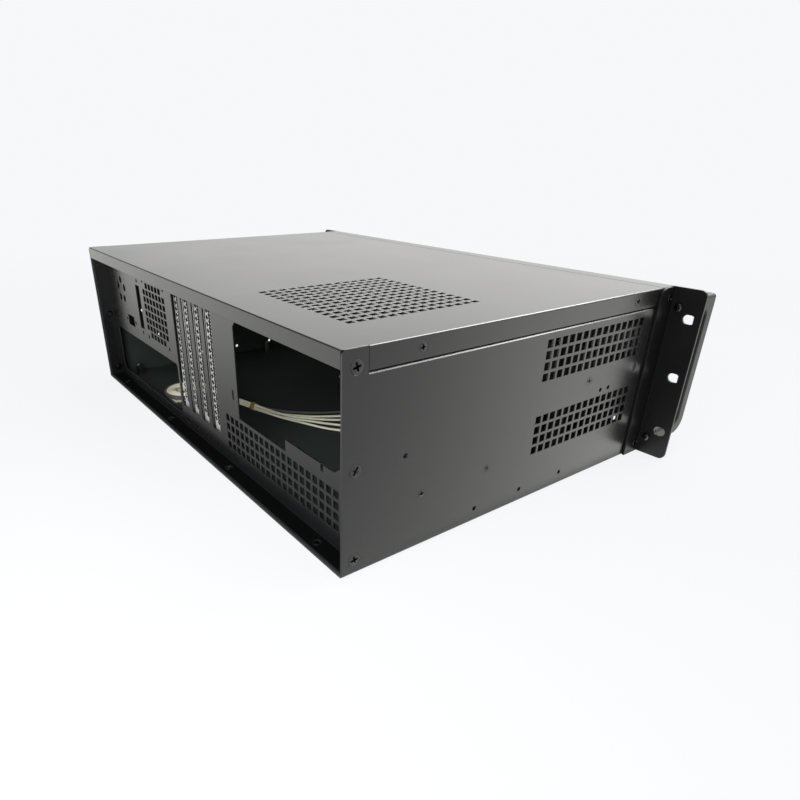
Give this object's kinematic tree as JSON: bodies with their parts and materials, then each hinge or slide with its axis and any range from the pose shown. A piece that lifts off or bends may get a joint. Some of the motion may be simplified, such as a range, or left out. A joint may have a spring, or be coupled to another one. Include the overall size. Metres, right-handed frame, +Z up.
{
  "type": "rackmount server case",
  "caption": "Empty black rackmount server case with vented lid and sides, recessed rear panel, slot covers, ears and handles.",
  "frame": {"origin": "centre of the bounding box at the underside", "axes": "+Z up, -Y towards the front with the handles, +X to the right seen from the front"},
  "size_m": [0.4826, 0.346, 0.1326],
  "materials": {
    "black_coat": "semi-gloss powder coat",
    "zinc": "zinc plated",
    "cover_nickel": "bright nickel",
    "handle_satin": "satin anodised",
    "screw_steel": "blackened",
    "standoff_brass": "turned",
    "moulded_black": "fine texture",
    "foam": "open-cell foam",
    "board_green": "solder mask",
    "socket_steel": "tinned",
    "lead_cream": "soft PVC insulation",
    "lead_grey": "soft PVC insulation",
    "band_rubber": "rubber band",
    "plug_black": "moulded connector",
    "light_clear": "clear moulding"
  },
  "bodies": {
    "case": {"chassis_tray": "black_coat", "rear_panel": "black_coat", "lid": "black_coat", "rack_ear_left": "black_coat", "rack_ear_right": "black_coat", "front_panel": "black_coat", "power_supply_shelf": "zinc", "drive_cage": "zinc", "slot_cover_1": "cover_nickel", "slot_cover_2": "cover_nickel", "slot_cover_3": "cover_nickel", "slot_cover_4": "cover_nickel", "handle_left": "handle_satin", "handle_right": "handle_satin", "rear_panel_screws": "screw_steel", "floor_screws": "screw_steel", "lid_screws": "screw_steel", "ear_screws": "screw_steel", "handle_screws": "screw_steel", "slot_cover_screws": "screw_steel", "shelf_screws": "screw_steel", "cage_screws": "screw_steel", "cage_foot_screws": "screw_steel", "fan_screws": "screw_steel", "control_board_screws": "screw_steel", "hinge_pins": "screw_steel", "board_standoffs": "standoff_brass", "bay_cover_1": "moulded_black", "bay_cover_2": "moulded_black", "fan_frame": "moulded_black", "door_hinge": "moulded_black", "control_board": "board_green", "usb_socket_1": "socket_steel", "usb_socket_2": "socket_steel", "light_lens_1": "light_clear", "light_lens_2": "light_clear", "lead_1": "lead_cream", "lead_2": "lead_cream", "lead_3": "lead_cream", "lead_4": "lead_cream", "lead_coil": "lead_cream", "lead_5": "lead_grey", "lead_band": "band_rubber", "lead_header": "plug_black", "plug_1": "plug_black", "plug_2": "plug_black", "plug_3": "plug_black"},
    "filter_door": {"filter_door": "moulded_black", "foam_filter": "foam"},
    "fan_rotor": {"fan_rotor": "moulded_black"},
    "power_button": {"power_button": "moulded_black"},
    "reset_button": {"reset_button": "moulded_black"}
  },
  "joints": [
    {"name": "filter_door_hinge", "type": "hinge", "parent": "case", "child": "filter_door", "pos_m": [0.1456, -0.1297, 0.06628], "axis": [0, 0, 1], "range_deg": [0, 100]},
    {"name": "fan_spin", "type": "hinge", "parent": "case", "child": "fan_rotor", "pos_m": [0.075, -0.115, 0.06628], "axis": [0, 1, 0], "continuous": true},
    {"name": "power_press", "type": "slide", "parent": "case", "child": "power_button", "axis": [0, 1, 0], "range_m": [0, 0.0015], "stiffness_N_per_m": 400},
    {"name": "reset_press", "type": "slide", "parent": "case", "child": "reset_button", "axis": [0, 1, 0], "range_m": [0, 0.0015], "stiffness_N_per_m": 400}
  ]
}
